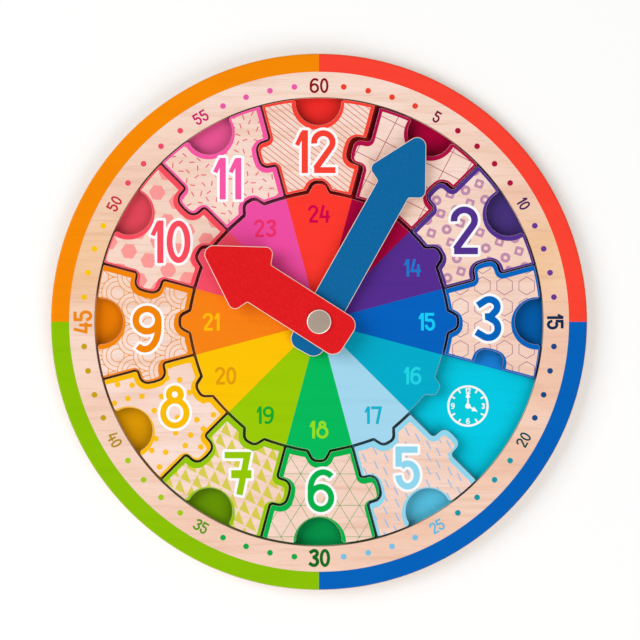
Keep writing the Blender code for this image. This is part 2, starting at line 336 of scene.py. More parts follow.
def quads(rows, columns, wrap_rows=False):
    """The faces of a grid of points, wrapped across its columns, and across its rows if asked."""
    grid = np.arange(rows * columns).reshape(rows, columns)
    above = np.roll(grid, -1, axis=0) if wrap_rows else grid[1:]
    here = grid if wrap_rows else grid[:-1]
    beyond = np.roll(here, -1, axis=1), np.roll(above, -1, axis=1)
    return np.stack((here, beyond[0], beyond[1], above), axis=-1).reshape(-1, 4)


def mosaic(polygons):
    """The triangles that the edges of overlapping polygons cut, each with the polygons that hold it.

    Gives the points, the triangles, the input points that each point came from, and the holders.
    """
    millimetre, merging = 1000, 1e-5
    points = np.concatenate(polygons) * millimetre
    ends = np.cumsum([len(polygon) for polygon in polygons])
    rings = [list(range(end - len(polygon), end)) for polygon, end in zip(polygons, ends)]
    made, _, triangles, sources, _, holders = delaunay_2d_cdt(points.tolist(), [], rings, 1, merging)
    return np.array(made) / millimetre, np.array(triangles), sources, holders


def ccw(polygon):
    """The polygon, counter-clockwise."""
    x, y = polygon.T
    area = np.sum(x * np.roll(y, -1) - y * np.roll(x, -1))
    return polygon if area > 0 else polygon[::-1]


def fill(loops):
    """Triangles inside the first loop and outside its clockwise holes, as places in the loops end to end."""
    counts = [len(loop) for loop in loops]
    order = np.concatenate([np.arange(counts[0])] + [np.arange(count)[::-1] for count in counts[1:]])
    place = order + np.repeat(np.cumsum([0] + counts[:-1]), counts)
    _, triangles, sources, holders = mosaic([ccw(loop) for loop in loops])
    came_from = place[[source[0] for source in sources]]
    solid = np.array([holder == [0] for holder in holders])
    return came_from[triangles[solid]]


def shown(name, data, place=(0, 0, 0)):
    """The object of a mesh, a lamp or a camera, put in the scene."""
    made = bpy.data.objects.new(name, data)
    made.location = place
    bpy.context.scene.collection.objects.link(made)
    return made


def name_of_node(name):
    """The frame's node that a piece stands for, which its name starts with."""
    return name.rsplit("_", 1)[0]


def piece(name, points, faces, looks, body, stands_for=(), slots=None):
    """The object of a mesh: smooth between its sharp edges and riding on a body."""
    mesh = bpy.data.meshes.new(name)
    mesh.from_pydata(points, [], faces)
    for look in looks:
        mesh.materials.append(look)
    if slots is not None:
        mesh.polygons.foreach_set("material_index", np.asarray(slots, dtype=np.int32))
    mesh.shade_smooth()
    mesh.set_sharp_from_angle(angle=sharp_angle)
    made = shown(name, mesh)
    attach(made, body)
    if stands_for:
        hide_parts(*stands_for)
    return made


def sanded(low, high, edge_round):
    """A plate's profile as rows of inset and height: a broken lower edge and a quarter round above."""
    angles = np.linspace(0, math.pi / 2, round_facets + 1)
    inset = edge_round * (1 - np.cos(angles))
    height = high - edge_round * (1 - np.sin(angles))
    foot = [(sanded_foot, low), (0, low + sanded_foot)]
    return np.vstack((foot, np.column_stack((inset, height))))


def plate(name, loops, low, high, look, body, edge_round=sanded_round):
    """A plate: point (i, j) is loop point j moved in by inset i, at height i, and the ends are filled.

    The first loop is the outline, counter-clockwise, and any other is a hole, clockwise.
    """
    profile = sanded(low, high, edge_round)
    rows = len(profile)
    points, faces, bottoms, tops = [], [], [], []
    start = 0
    for loop in loops:
        for inset, height in profile:
            points.append(np.column_stack((beside(loop, inset, closed=True), np.full(len(loop), height))))
        faces += (start + quads(rows, len(loop))).tolist()
        bottoms.append(start + np.arange(len(loop)))
        tops.append(start + (rows - 1) * len(loop) + np.arange(len(loop)))
        start += rows * len(loop)
    ends = fill(loops)
    faces += np.concatenate(bottoms)[ends][:, ::-1].tolist()
    faces += np.concatenate(tops)[ends].tolist()
    return piece(name, np.concatenate(points), faces, [look], body, [name_of_node(name)])


def turning(name, profile, looks, facets=turn_facets, closed=True, slots_of=None):
    """A turned piece: point (i, j) is radius i at angle j, at height i.

    The profile runs outward on top and down its outer side. An open one ends in two flat caps.
    """
    angles = np.linspace(0, 2 * math.pi, facets, endpoint=False)
    radius, height = profile[:, :1], profile[:, 1:]
    grid = np.dstack((radius * np.cos(angles), radius * np.sin(angles), height + 0 * angles))
    faces = quads(len(profile), facets, wrap_rows=closed)[:, ::-1].tolist()
    if not closed:
        last = (len(profile) - 1) * facets
        faces += [list(range(facets)), list(range(last, last + facets))[::-1]]
    slots = slots_of(profile, angles) if slots_of else None
    return piece(name, grid.reshape(-1, 3), faces, looks, "root", [name_of_node(name)], slots)


# Films of ink
film_thick = 0.00003
film_sink = 0.00001


def near_edge(spots, outline, width):
    """Whether each spot lies nearer to a closed outline than a width."""
    along = np.roll(outline, -1, axis=0) - outline
    away = spots[:, None] - outline
    share = np.clip(np.sum(away * along, axis=2) / np.sum(along**2, axis=1), 0, 1)
    return np.linalg.norm(away - share[..., None] * along, axis=2).min(axis=1) < width


def film(name, layers, reach, height, body, border=None):
    """A film of ink on a flat face, cut from overlapping shapes as a painter lays them.

    The layers are pairs of an ink and its polygons, from the lowest up, and a layer with no ink
    uncovers the wood. No ink leaves the reach. A border is the place of a layer, an outline and a
    width: that layer lies along the outline. The triangles of the top are doubled below, and each
    edge that only one of them has gets a wall.
    """
    groups = [list(group) for _, group in layers]
    seams = [reach] if border is None else [reach, beside(border[1], border[2], closed=True)]
    level = np.repeat(np.arange(-1, len(layers)), [len(seams)] + [len(group) for group in groups])
    shapes = [ccw(np.asarray(shape)) for shape in seams + sum(groups, [])]
    points, triangles, _, holders = mosaic(shapes)
    topmost = np.array([level[holder].max() if 0 in holder else -1 for holder in holders])
    if border is not None:
        place, outline, width = border
        edging = near_edge(points[triangles].mean(axis=1), outline, width)
        edging &= np.array([0 in holder for holder in holders])
        topmost = np.where(edging, np.maximum(topmost, place), topmost)
    inked = np.array([look is not None for look, _ in layers] + [False])
    kept = inked[topmost]
    triangles, topmost = triangles[kept], topmost[kept]
    used, corners = np.unique(triangles, return_inverse=True)
    corners = corners.reshape(-1, 3)
    count = len(used)
    starts = corners.ravel()
    ends = np.roll(corners, -1, axis=1).ravel()
    rim = np.isin(starts * count + ends, ends * count + starts, invert=True)
    a, b = starts[rim], ends[rim]
    walls = np.column_stack((a + count, b + count, b, a))
    looks = list(dict.fromkeys(look for look, _ in layers if look is not None))
    look_of = np.array([looks.index(look) if look else 0 for look, _ in layers])[topmost]
    flat = points[used]
    top = np.column_stack((flat, np.full(count, height + film_thick)))
    bottom = np.column_stack((flat, np.full(count, height - film_sink)))
    faces = corners.tolist() + (corners[:, ::-1] + count).tolist() + walls.tolist()
    slots = np.concatenate((look_of, look_of, np.repeat(look_of, 3)[rim]))
    return piece(name, np.vstack((top, bottom)), faces, looks, body, slots=slots)


# Shapes that prints are cut from, and how far a piece's pattern reaches from its middle
piece_reach = 0.050


def band(left, right, closed=True):
    """Quads between two paths of as many points, the first on the left."""
    if closed:
        left, right = np.vstack((left, left[:1])), np.vstack((right, right[:1]))
    return np.stack((left[:-1], right[:-1], right[1:], left[1:]), axis=1)


def stroke(path, width, closed=False):
    """The quads within half a width of a path."""
    return band(beside(path, width / 2, closed), beside(path, -width / 2, closed), closed)


def hoop(centre, radius, width, facets=48):
    """A ring of a middle radius and a width."""
    return stroke(circle(radius, facets, centre), width, closed=True)


def capsule(start, end, radius):
    """A straight stroke with round ends."""
    along = math.atan2(end[1] - start[1], end[0] - start[0])
    square = math.pi / 2
    ahead = arc(end, radius, along - square, along + square, corner_step * 2)
    behind = arc(start, radius, along + square, along + 3 * square, corner_step * 2)
    return np.concatenate((ahead, behind))


def stamped(shape, places, turns=0.0):
    """Copies of one outline, or of a set of quads: each turned anticlockwise and moved to its place."""
    turns = np.broadcast_to(turns, len(places))
    cosine, sine = np.cos(turns), np.sin(turns)
    matrices = np.moveaxis(np.array([[cosine, sine], [-sine, cosine]]), 2, 0)
    shape = np.asarray(shape)
    flat = shape.reshape(-1, 2) @ matrices + np.asarray(places)[:, None]
    return flat.reshape(-1, *shape.shape[-2:])


def lattice(anchor, across, upward, middle, reach=piece_reach):
    """The points anchor + i across + j upward that lie within a reach of a middle."""
    steps = np.arange(-16, 17)
    i, j = np.meshgrid(steps, steps)
    i, j = i.reshape(-1, 1), j.reshape(-1, 1)
    points = np.array(anchor) + i * np.array(across) + j * np.array(upward)
    return points[np.linalg.norm(points - middle, axis=1) < reach]


def slanted(length, degrees):
    """A vector of a length at an angle from the X axis."""
    angle = math.radians(degrees)
    return length * np.array([math.cos(angle), math.sin(angle)])


def bar(length, width):
    """A rectangle about the origin, long in X."""
    return np.array([(-length, -width), (length, -width), (length, width), (-length, width)]) / 2


def regular(radius, sides, degrees=0.0):
    """A regular polygon about the origin, with a corner at an angle."""
    angles = math.radians(degrees) + 2 * math.pi * np.arange(sides) / sides
    return radius * np.column_stack((np.cos(angles), np.sin(angles)))


# Digits, as shares of their height: each is its width and its strokes, and a stroke is its own
# width as a share of the digit's, then points x, y and bends x, y, radius across, radius up, from
# and to in degrees
stroke_share = 0.14
digit_gap_share = 0.075
digit_shares = {
    "0": (0.56, [(1.0, (0.28, 0.50, 0.210, 0.430, 0, 360))]),
    "1": (0.30, [(0.75, (0.045, 0.650), (0.185, 0.950)), (1.05, (0.228, 1.0), (0.228, 0.0))]),
    "2": (0.57, [
        (1.0, (0.285, 0.718, 0.215, 0.212, 188, -34), (0.105, 0.105)),
        (1.0, (0.070, 0.070), (0.570, 0.070)),
    ]),
    "3": (0.60, [
        (1.1, (0.080, 0.790), (0.340, 0.762, 0.175, 0.163, 125, -50), (0.370, 0.548), (0.240, 0.540)),
        (1.1, (0.320, 0.530), (0.318, 0.287, 0.212, 0.212, 58, -125), (0.045, 0.205)),
    ]),
    "4": (0.60, [(1.0, (0.235, 1.0), (0.075, 0.330), (0.600, 0.330)), (1.0, (0.455, 0.700), (0.430, 0.0))]),
    "5": (0.59, [
        (1.06, (0.515, 0.928), (0.073, 0.928), (0.073, 0.530)),
        (1.06, (0.283, 0.337, 0.213, 0.265, 135, -178)),
    ]),
    "6": (0.625, [
        (1.0, (0.365, 0.550, 0.290, 0.380, 48, 180), (0.075, 0.330)),
        (1.0, (0.315, 0.330, 0.240, 0.260, 0, 360)),
    ]),
    "7": (0.60, [(1.08, (0.0, 0.924), (0.530, 0.924), (0.345, 0.0))]),
    "8": (0.70, [
        (1.0, (0.350, 0.790, 0.140, 0.140, 0, 360)),
        (1.0, (0.350, 0.360, 0.270, 0.290, 0, 360)),
    ]),
    "9": (0.625, [
        (1.0, (0.310, 0.692, 0.240, 0.238, 0, 360)),
        (1.0, (0.550, 0.692), (0.265, 0.530, 0.285, 0.460, 0, -122)),
    ]),
}
cross_bar_shares = (1.35, (0.155, 0.480), (0.625, 0.480))
bend_facets = 48


def stroke_path(steps):
    """The points of one stroke, with its bends as elliptic arcs, and whether it closes."""
    path = []
    for step in steps:
        if len(step) == 2:
            path.append(np.array([step]))
        else:
            x, y, across, up, start, end = step
            count = max(6, round(bend_facets * abs(end - start) / 360))
            angles = np.radians(np.linspace(start, end, count + 1))
            path.append(np.column_stack((x + across * np.cos(angles), y + up * np.sin(angles))))
    path = np.concatenate(path)
    closed = np.linalg.norm(path[0] - path[-1]) < rounding_slack
    return (path[:-1] if closed else path), closed


def numeral(text, height, centre, turn=0.0, share=stroke_share, crossed=False):
    """A number's strokes, each a path, its width and whether it closes, centred and turned clockwise."""
    widths = [digit_shares[digit][0] for digit in text]
    whole = sum(widths) + digit_gap_share * (len(text) - 1)
    left = -whole / 2
    strokes = []
    for digit, width in zip(text, widths):
        for own_share, *steps in digit_shares[digit][1] + ([cross_bar_shares] if crossed else []):
            path, closed = stroke_path(steps)
            path = turned((path + (left, -0.5)) * height, turn) + centre
            strokes.append((path, own_share * share * height, closed))
        left += width + digit_gap_share
    return strokes


def drawn(strokes):
    """The quads of a number's strokes."""
    return np.concatenate([stroke(path, width, closed) for path, width, closed in strokes])


def trimmed(path, cut):
    """The path without a length at each of its ends."""
    along = np.append(0, np.cumsum(np.linalg.norm(np.diff(path, axis=0), axis=1)))
    last = along[-1] - cut
    kept = np.hstack((cut, along[(along > cut) & (along < last)], last))
    return np.column_stack([np.interp(kept, along, values) for values in path.T])


def haloed(strokes, halo):
    """The shapes within a halo of a number's strokes: capsules along them, and across their cut ends."""
    shapes = []
    for path, width, closed in strokes:
        radius = halo + width / 2
        if closed:
            path = np.vstack((path, path[:1]))
            links = zip(path[:-1:2], path[2::2])
        else:
            left, right = beside(path, width / 2), beside(path, -width / 2)
            shapes += [capsule(left[0], right[0], halo), capsule(left[-1], right[-1], halo)]
            path = trimmed(path, width / 2)
            links = zip(path[:-1], path[1:])
        shapes += [capsule(start, end, radius) for start, end in links]
    return shapes


# Materials: glosses, the golden strip's half width, and the depths that bumps stand for
print_gloss = 0.04
paint_gloss = 0.08
golden_strip = 0.036
pore_deep = 0.00006
inked_pore_deep = 0.00004
peel_deep = 0.00008
groove_deep = 0.00003
fleck_deep = 0.00004
white = (1, 1, 1, 1)


def linear(code):
    """A colour from its six-digit code, in Blender's linear scale."""
    steps = np.array([int(code[place : place + 2], 16) for place in (0, 2, 4)]) / 255
    scale = np.where(steps <= 0.04045, steps / 12.92, ((steps + 0.055) / 1.055) ** 2.4)
    return (*scale.tolist(), 1.0)


def node(tree, kind, inputs=(), **settings):
    """A node of a tree with its settings, and its inputs set, or linked where a socket is given."""
    made = tree.nodes.new(f"ShaderNode{kind}")
    for key, value in settings.items():
        setattr(made, key, value)
    for key, value in dict(inputs).items():
        if isinstance(value, bpy.types.NodeSocket):
            tree.links.new(value, made.inputs[key])
        else:
            made.inputs[key].default_value = value
    return made


def maths(tree, operation, first, second=0.0):
    """What one operation makes of two values, each a socket or a number."""
    return node(tree, "Math", {0: first, 1: second}, operation=operation).outputs[0]


def coordinates(tree, kind="Object"):
    """The X, Y and Z of the object's own coordinates, or of another kind."""
    return node(tree, "SeparateXYZ", {0: node(tree, "TexCoord").outputs[kind]}).outputs


def emptied(owner):
    """The node tree of a material or a world, with nothing in it."""
    owner.use_nodes = True
    owner.node_tree.nodes.clear()
    return owner.node_tree


def blank(name):
    """A material with an empty tree and a Principled shader on its output."""
    made = bpy.data.materials.new(name)
    tree = emptied(made)
    shader = node(tree, "BsdfPrincipled")
    node(tree, "OutputMaterial", {"Surface": shader.outputs[0]})
    return made, tree, shader


def finished(tree, shader, colour, roughness, height, strength, distance):
    """Gives a shader its colour, its roughness, and a height as a bump."""
    bump = node(tree, "Bump", {"Height": height, "Strength": strength, "Distance": distance})
    for name, value in (("Base Color", colour), ("Roughness", roughness), ("Normal", bump.outputs[0])):
        tree.links.new(value, shader.inputs[name])


def tinted(code, factor, lift=0.0):
    """The linear colour of a code, made deeper or paler by a factor, and lifted."""
    return tuple(min(1.0, factor * channel + lift) for channel in linear(code)[:3]) + (1.0,)


def mixed(tree, factor, first, second):
    """The colour between two, each a code, a linear colour or a socket."""
    first, second = (linear(side) if isinstance(side, str) else side for side in (first, second))
    return node(tree, "Mix", {0: factor, 6: first, 7: second}, data_type="RGBA").outputs[2]


def ranged(tree, value, low, high, least=0.0, most=1.0):
    """A value brought from one range to another, and held inside it."""
    inputs = {0: value, 1: low, 2: high, 3: least, 4: most}
    return node(tree, "MapRange", inputs).outputs[0]


def noise(tree, scale, detail=3.0, roughness=0.5, stretch=(1, 1, 1)):
    """Noise on the object's own coordinates, stretched along its axes."""
    place = node(tree, "TexCoord").outputs["Object"]
    place = node(tree, "Mapping", {"Vector": place, "Scale": stretch}).outputs[0]
    inputs = {"Vector": place, "Scale": scale, "Detail": detail, "Roughness": roughness}
    return node(tree, "TexNoise", inputs).outputs[0]


def grained(tree):
    """Three factors of a veneer whose grain runs along X: pores, streaks and broad figure."""
    pores = ranged(tree, noise(tree, 900, 4, 0.6, (0.06, 1, 1)), 0.54, 0.72)
    flecks = ranged(tree, noise(tree, 4200, 2, 0.6, (0.05, 1, 1)), 0.55, 0.70, 0, 0.7)
    streaks = ranged(tree, noise(tree, 210, 3, 0.6, (0.07, 1, 1)), 0.50, 0.74)
    figure = ranged(tree, noise(tree, 34, 2, 0.5, (0.30, 1, 1)), 0.35, 0.65)
    return maths(tree, "MAXIMUM", pores, flecks), streaks, figure


def ply_walls(tree, height, low, ply_thick, burn_and_seam_shade, streaks):
    """A sheet's walls: long plies and darker cross plies in turns, by the height over its lower face.

    A thin glue line starts each ply, and the whole wall is darkened by a share: partly laser burn, partly
    painted shade for the narrow seams.
    """
    step = maths(tree, "DIVIDE", maths(tree, "SUBTRACT", height, low), ply_thick)
    crossing = maths(tree, "GREATER_THAN", maths(tree, "MODULO", step, 2.0), 1.0)
    end_grain = ranged(tree, noise(tree, 1500, 3, 0.6, (1, 1, 0.35)), 0.35, 0.7)
    long_ply = mixed(tree, streaks, "F2D0AE", "DDB08A")
    cross_ply = mixed(tree, end_grain, "D9AC84", "B98860")
    glue_line = ranged(tree, maths(tree, "FRACT", step), 0.0, 0.07, 0.7, 0.0)
    wall = mixed(tree, glue_line, mixed(tree, crossing, long_ply, cross_ply), "8A5C3C")
    # The near-black char stands partly for laser burn and partly for painted shade in the seams
    return mixed(tree, burn_and_seam_shade, wall, mixed(tree, end_grain, "1E120D", "120A07"))


def plywood(name, low, ply_thick, burn_and_seam_shade=0.0, golden=0.0, bleached=0.0):
    """Pale rosy plywood, with its plies on its walls.

    Shares say how far laser-cut walls are darkened, partly by burning and partly as painted shade for the
    narrow seams, how much one strip of the face is yellower and its top pales towards twelve, and how far
    the whole face is bleached.
    """
    made, tree, shader = blank(name)
    pores, streaks, figure = grained(tree)
    place = coordinates(tree)
    aside = maths(tree, "ABSOLUTE", maths(tree, "SUBTRACT", place["Y"], golden_strip))
    strip = ranged(tree, aside, 0.3 * golden_strip, golden_strip, golden, 0.25 * golden)
    rosy = mixed(tree, figure, "FCDED2", "F5CCB9")
    yellow = mixed(tree, figure, "F9D2AC", "F2BE90")
    face = mixed(tree, strip, rosy, yellow)
    pale = ranged(tree, place["Y"], 0.045, 0.14, bleached, bleached + 0.45 * golden)
    face = mixed(tree, pale, face, "FFEDE4")
    face = mixed(tree, ranged(tree, streaks, 0, 1, 0, 0.48), face, "E2AE8E")
    face = mixed(tree, ranged(tree, pores, 0, 1, 0, 0.30), face, "D39F82")
    wall = ply_walls(tree, place["Z"], low, ply_thick, burn_and_seam_shade, streaks)
    facing = maths(tree, "ABSOLUTE", coordinates(tree, "Normal")["Z"])
    colour = mixed(tree, ranged(tree, facing, 0.45, 0.85), wall, face)
    roughness = ranged(tree, streaks, 0, 1, 0.52, 0.66)
    finished(tree, shader, colour, roughness, ranged(tree, pores, 0, 1, 1, 0), 0.35, pore_deep)
    shader.inputs["Specular IOR Level"].default_value = print_gloss
    return made


def ink(name, code, painted_lit_code=None):
    """Printed ink: even colour that the veneer's streaks show through a little, with a soft gloss.

    A second code fades the ink to another colour just below three o'clock, as painted light and shade:
    lighter at the socket and darker up in the notch.
    """
    made, tree, shader = blank(name)
    pores, streaks, figure = grained(tree)
    colour, shade = code, tinted(code, 0.84)
    if painted_lit_code:
        below = ranged(tree, coordinates(tree)["Y"], -0.013, -0.017)
        colour = mixed(tree, below, colour, painted_lit_code)
    base = mixed(tree, ranged(tree, streaks, 0, 1, 0, 0.35), colour, shade)
    base = mixed(tree, ranged(tree, figure, 0, 1, 0, 0.15), base, shade)
    roughness = ranged(tree, pores, 0, 1, 0.42, 0.55)
    finished(tree, shader, base, roughness, ranged(tree, pores, 0, 1, 1, 0), 0.25, inked_pore_deep)
    shader.inputs["Specular IOR Level"].default_value = print_gloss
    return made


def hand_paint(name, code):
    """Sprayed paint on a hand: fine orange peel, faint cloudiness and a satin gloss."""
    made, tree, shader = blank(name)
    cloud = ranged(tree, noise(tree, 620, 6, 0.75), 0.35, 0.65)
    peel = noise(tree, 1800, 3, 0.6)
    deep, pale = tinted(code, 0.90), tinted(code, 1.09, 0.003)
    base = mixed(tree, cloud, deep, pale)
    base = mixed(tree, ranged(tree, peel, 0.45, 0.7, 0, 0.3), base, pale)
    finished(tree, shader, base, ranged(tree, peel, 0.3, 0.7, 0.36, 0.48), peel, 0.25, peel_deep)
    shader.inputs["Specular IOR Level"].default_value = paint_gloss
    return made


def turned_steel(name, code, rough, rim_radius=1.0):
    """Plated steel with the faint rings of turning and small scuffs, and a painted highlight near a rim
    radius.
    """
    made, tree, shader = blank(name)
    place = coordinates(tree)
    plan = node(tree, "CombineXYZ", {"X": place["X"], "Y": place["Y"]}).outputs[0]
    radius = node(tree, "VectorMath", {0: plan}, operation="LENGTH").outputs["Value"]
    along = node(tree, "CombineXYZ", {"X": radius}).outputs[0]
    grooves = node(tree, "TexNoise", {"Vector": along, "Scale": 4000.0, "Detail": 2.0}).outputs[0]
    scuffs = ranged(tree, noise(tree, 2200, 6, 0.8), 0.45, 0.7)
    base = mixed(tree, scuffs, code, tinted(code, 0.88))
    # Painted highlight: the colour turns pale towards the rim radius, standing for light caught on the
    # rolled edge
    rim = ranged(tree, radius, rim_radius - 0.0006, rim_radius - 0.0003)
    base = mixed(tree, rim, base, "EAE2D8")
    roughness = ranged(tree, grooves, 0.3, 0.7, rough - 0.06, rough + 0.08)
    finished(tree, shader, base, roughness, grooves, 0.15, groove_deep)
    shader.inputs["Metallic"].default_value = 1.0
    return made


def pressed_fibre(name):
    """Dark pressed fibre with a fine fleck."""
    made, tree, shader = blank(name)
    fleck = ranged(tree, noise(tree, 2600, 4, 0.7, (1, 1, 2)), 0.4, 0.7)
    base = mixed(tree, fleck, "33302C", "57514A")
    finished(tree, shader, base, ranged(tree, fleck, 0, 1, 0.62, 0.78), fleck, 0.3, fleck_deep)
    return made


# Inks by hour, from twelve on: the disc's face and its number, the board, a minute dot, the minute
# number, and the border of the hour's piece, where there is one
hour_ink_kinds = ("face", "number", "floor", "dot", "minute", "edge")
hour_ink_codes = {
    "red": "FF3A2E D0004A FF302B F0402C 8E0A12 FB4233",
    "crimson": "AA003E F0306A B0003C B0123C 7A1030 B50A48",
    "purple": "562D91 1F78D0 4B3682 6A3A96 4A1C5A 53328F",
    "blue": "0062C0 12CFF8 0064B6 1A4A86 14284C 0066BF",
    "teal": "00AECD 22D8E8 00CDE8 149AA8 0E4A4E",
    "sky": "A5DBF3 14B4D0 5ED0F4 7CC4EA 5CBCE8 92DAF2",
    "green": "00BC5C 96E020 009C4E 14AA46 0A6A1E 00B24B",
    "lime": "9BCB00 14A82A 6C9C00 A4CC10 5A9A10 96C800",
    "yellow": "FFC600 E79C08 E6A000 C8A010 B08A10 FCBE00",
    "orange": "F98413 FFBE08 FE8800 FCC800 F08A10 F48600",
    "coral": "F5506A D0004A FF5264 F0506A C8283C FC4E60",
    "pink": "F04FA5 F0306A FF5FA3 EE5CA8 D0146C FC59A6",
}
hour_names = tuple(hour_ink_codes)
ink_codes = {
    "white": "FFFFFF",
    "light_cyan": "00CFE0",
    "rim_orange": "FA8C00",
    "rim_red": "FF4433",
    "rim_blue": "0063BC",
    "rim_green": "8CC200",
    "stripe_red": "DC7860",
    "dash_pink": "EE707C",
    "hexagon_coral": "FF9C98",
    "wave_orange": "EE9A3C",
    "spot_yellow": "FFC21E",
    "triangle_olive": "DACF50",
    "line_green": "86AE74",
    "rain_blue": "A3C2E8",
    "hexagon_mauve": "A9738F",
    "ring_mauve": "C48FB0",
    "line_maroon": "B5606A",
}
for hour_name, hour_codes in hour_ink_codes.items():
    ink_codes.update((f"{kind}_{hour_name}", code) for kind, code in zip(hour_ink_kinds, hour_codes.split()))
# Painted shade and light: the floor under three o'clock is darker up in its notch and lighter down at its
# socket
painted_lit_codes = {"floor_blue": "1C86E2"}
inks = {name: ink(f"ink_{name}", code, painted_lit_codes.get(name)) for name, code in ink_codes.items()}

# Wooden pieces, from the heights that the frame gives
heights = {name: (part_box(name)[0].z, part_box(name)[1].z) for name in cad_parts}
board_low, board_high = heights["back_board"]
ring_high = heights["frame_ring"][1]
disc_high = heights["hour_disc"][1]
piece_low, piece_high = heights["piece_12"]
tray_ply = (piece_high - piece_low) / 5
board_ply = (board_high - board_low) / 3
board_wood = plywood("board_plywood", board_low, board_ply)
ring_wood = plywood("ring_plywood", piece_low, tray_ply, golden=1.0)
# Cut walls darkened towards black: partly laser burn, partly painted shade that blackens the seams between
# the pieces, the disc and the ring
ring_cut_wood = plywood("ring_cut_plywood", piece_low, tray_ply, burn_and_seam_shade=0.45, golden=1.0)
piece_wood = plywood("piece_plywood", piece_low, tray_ply, burn_and_seam_shade=0.93, golden=0.20, bleached=0.22)

# Prints: bare edges, how far prints miss their places, and the places of the dots and numbers
bare_edge = 0.00012
floor_print_inset = 0.0002
bore_bare_share = 1.2
border_wide = 0.0019
print_slip = (-0.0003, -0.0010)
own_slips = {6: (0.0005, -0.0010)}
print_outward = 0.0003
print_rim_over = 0.0010
numeral_halo = 0.0015
rim_paint_radius = 0.1397
rim_paint_down_share = 0.40
minute_radius = 0.1320
minute_dot_radius = 0.0016
minutes_on_dial = 60
disc_numeral_radius = 0.0603
disc_numeral_height = 0.0098
disc_stroke_share = 0.155
pictogram_middle = np.array([0.0834, -0.0472])
pictogram_radius = 0.0116
pattern_slant = -25.7
pattern_pitch = 0.01213

# How far the colours are laid beyond what shows of them, and the facets of small round shapes
floor_colour_radius = clock_radius * 0.95
floor_bare_radius = disc_side_radius * 0.9
disc_colour_radius = disc_side_radius * 1.25
rim_colour_reach = clock_radius * 1.1
bore_facets = 72
dot_facets = 24


def slant_lattice(anchor, pitch, degrees, middle, opening=90):
    """A lattice of one pitch whose rows slant, and whose columns open from the rows by an angle."""
    return lattice(anchor, slanted(pitch, degrees), slanted(pitch, degrees + opening), middle)


def scattered(places, far, across_step, up_step):
    """Each place pushed about by up to a distance, by the cosine and sine of steps of its count."""
    count = np.arange(len(places))
    return places + far * np.column_stack((np.cos(across_step * count), np.sin(up_step * count)))


def waves(middle):
    """Overlapping scales of three arcs each, every column half a scale up from the last."""
    radii, rise, line = (0.0088, 0.0063, 0.0037), 0.0175, 0.00042
    places = lattice((-0.1038, 0.0075), (radii[0], rise / 2), (0, rise), middle)
    layers = []
    for place in places[np.lexsort((places[:, 1], places[:, 0].round(5)))]:
        arcs = np.concatenate([hoop(place, radius, line) for radius in radii])
        layers += [(None, [circle(radii[0], 48, place)]), ("wave_orange", arcs)]
    return layers


def stripes(middle):
    """Thin stripes that fall to the right."""
    long, line, pitch, fall = 0.1, 0.00040, 0.0026, -38
    places = lattice((0, 0.098), slanted(long, fall), slanted(pitch, fall + 90), middle, piece_reach * 2)
    return [("stripe_red", stamped(bar(long, line), places, math.radians(fall)))]


def squares(middle):
    """A slanted grid of thin lines."""
    pitch, long, line, slant = 0.0120, 0.0122, 0.00040, -27
    places = slant_lattice((0.0317, 0.0897), pitch, slant, middle)
    side = bar(long, line)
    return [("line_maroon", stamped(side, places, math.radians(turn))) for turn in (slant, slant + 90)]


def hoops_and_blocks(middle):
    """Rings, and rounded squares with a round hole, in turns on a slanted lattice."""
    ring_radius, hole_radius, block_radius, block_round, block_turn = 0.0028, 0.0011, 0.0034, 0.0009, 8
    hoops = slant_lattice((0.0932, 0.0411), pattern_pitch, pattern_slant, middle)
    blocks = slant_lattice((0.0899, 0.0500), pattern_pitch, pattern_slant, middle)
    block = rounded([(x, y, block_round) for x, y in regular(block_radius, 4, 45)])
    return [
        ("ring_mauve", stamped(block, blocks, math.radians(pattern_slant + block_turn))),
        ("ring_mauve", stamped(circle(ring_radius, 24), hoops)),
        (None, stamped(circle(hole_radius, 20), np.vstack((hoops, blocks)))),
    ]


def cells(middle):
    """Outlined hexagons with a corner up, in rows and columns."""
    radius, line = 0.0050, 0.00036
    places = lattice((0.1037, -0.0036), (0.01235, 0), (0, 0.01185), middle)
    return [("hexagon_mauve", stamped(stroke(regular(radius, 6, 90), line, closed=True), places))]


def rain(middle):
    """Short slanted drops with cut ends."""
    far, near, half_long, push = 0.00150, 0.00070, 0.0023, 0.0004
    places = lattice((0.0374, -0.0761), (0.0059, -0.0036), (0, 0.00727), middle)
    drop = np.array([(-far, half_long), (near, -half_long), (far, -half_long), (-near, half_long)])
    return [("rain_blue", stamped(drop, scattered(places, push, 2.9, 4.7)))]


def trellis(middle):
    """Lines along each row and both ways from each knot to the next row, with a dot on each knot."""
    across, rise, line, knot = 0.01095, 0.0176, 0.00032, 0.00050
    places = lattice((0.0116, -0.1026), (across, 0), (0, rise), middle)
    slope, long = math.atan2(rise, across), math.hypot(across, rise)
    shapes = (
        stamped(bar(across, line), places),
        stamped(bar(long, line), places + (across / 2, rise / 2), slope),
        stamped(bar(long, line), places + (-across / 2, rise / 2), -slope),
        stamped(circle(knot, 12), places),
    )
    return [("line_green", shape) for shape in shapes]


def small_triangles(middle):
    """The upward halves of a slanted grid's cells, each drawn in a little about its middle."""
    across, upward, drawn_in = np.array([0.00657, -0.00349]), np.array([0.00321, 0.00587]), 0.90
    half = np.array([(0, 0), across, upward])
    half = drawn_in * (half - half.mean(axis=0))
    return [("triangle_olive", stamped(half, lattice((-0.0745, -0.0867), across, upward, middle)))]


def round_spots(middle):
    """Round spots, scattered evenly."""
    pitch, slant, opening, push, radius = 0.0090, 8, 60, 0.0013, 0.0016
    places = slant_lattice((-0.0689, -0.0537), pitch, slant, middle, opening)
    return [("spot_yellow", stamped(circle(radius, 20), scattered(places, push, 1.9, 3.7)))]


